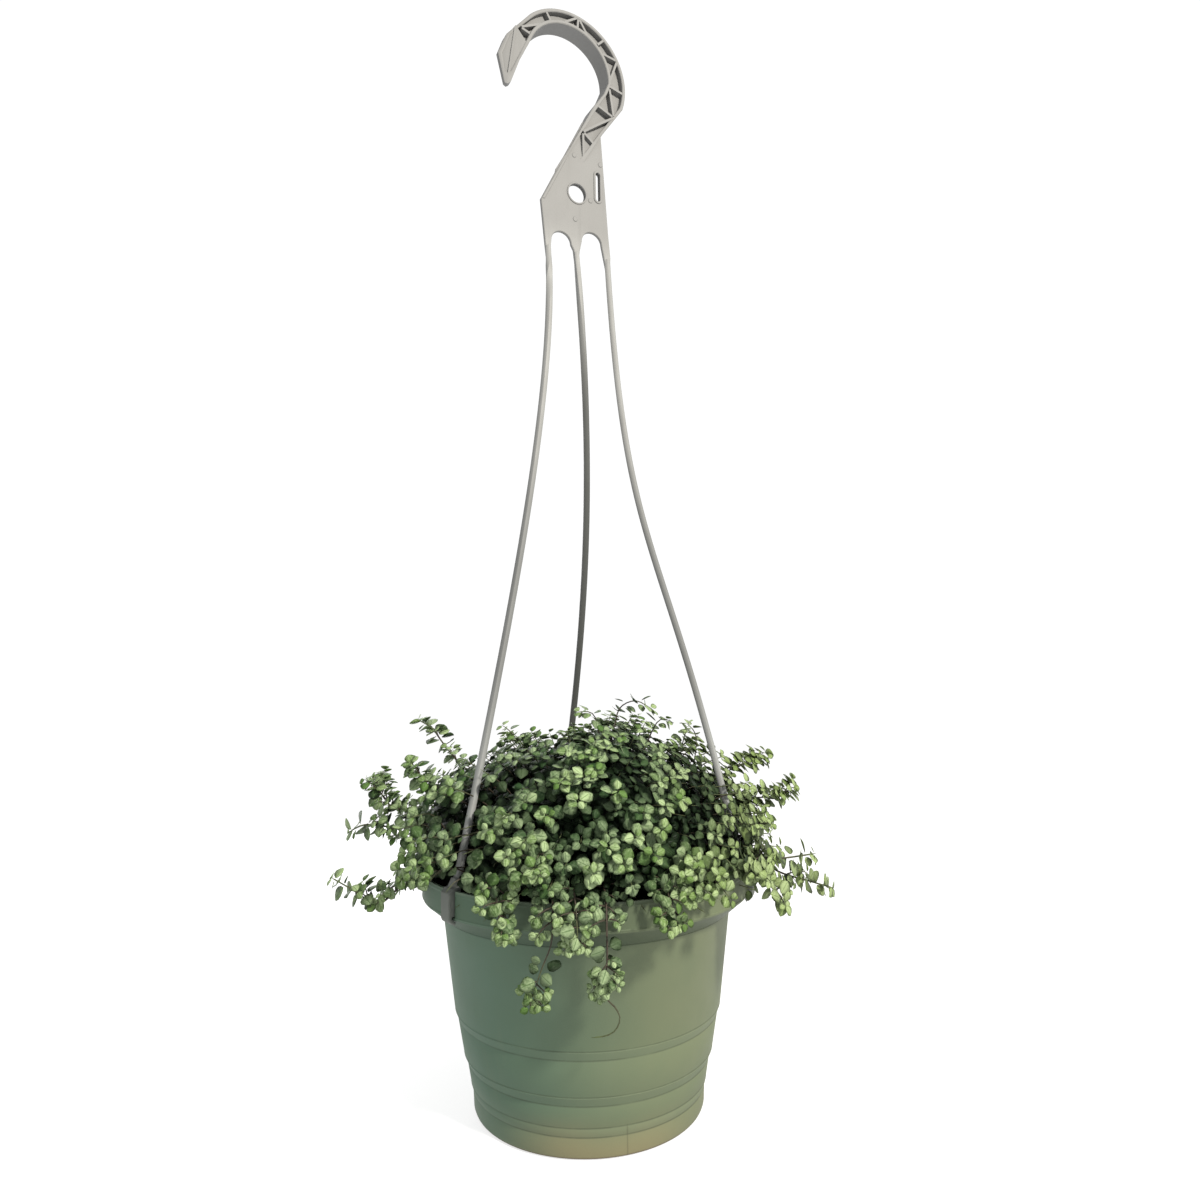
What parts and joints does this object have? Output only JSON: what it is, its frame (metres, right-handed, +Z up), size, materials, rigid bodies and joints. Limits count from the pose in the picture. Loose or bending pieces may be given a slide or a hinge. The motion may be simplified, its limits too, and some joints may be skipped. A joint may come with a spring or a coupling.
{
  "type": "potted trailing pilea",
  "caption": "Small-leaved trailing pilea in a tapered plastic hanging pot, with a one-piece hanger of straps, plate and open hook.",
  "frame": {"origin": "centre of the pot's flat base, on the surface it stands on", "axes": "+Z up along the pot's axis to the hook, -Y towards the pot's front, the hanger's plate turned 28 degrees about Z"},
  "size_m": [0.2521, 0.1984, 0.5688],
  "materials": {
    "pot": "satin",
    "hanger": "satin",
    "soil": "rough",
    "leaves": "satin"
  },
  "bodies": {
    "root": {"pot": "pot", "hanger": "hanger", "shoot_left_low": "leaves", "shoot_left_middle": "leaves", "shoot_left_rising": "leaves", "shoot_left_high": "leaves", "shoot_left_upper": "leaves", "shoot_right_middle": "leaves", "shoot_right_front": "leaves", "shoot_right_level": "leaves", "shoot_right_low": "leaves", "shoot_right_fall": "leaves", "shoot_right_upper": "leaves", "shoot_right_high": "leaves", "shoot_front_left": "leaves", "shoot_front_over": "leaves", "shoot_front_hanging_left": "leaves", "shoot_front_middle": "leaves", "shoot_front_hanging_right": "leaves", "shoot_front_right": "leaves", "clump_middle": "leaves", "clump_1": "leaves", "clump_2": "leaves", "clump_3": "leaves", "clump_4": "leaves", "clump_5": "leaves", "clump_6": "leaves", "clump_7": "leaves", "shoot_01": "leaves", "shoot_02": "leaves", "shoot_03": "leaves", "shoot_04": "leaves", "shoot_05": "leaves", "shoot_06": "leaves", "shoot_07": "leaves", "shoot_08": "leaves", "shoot_09": "leaves", "soil": "soil"}
  },
  "joints": []
}
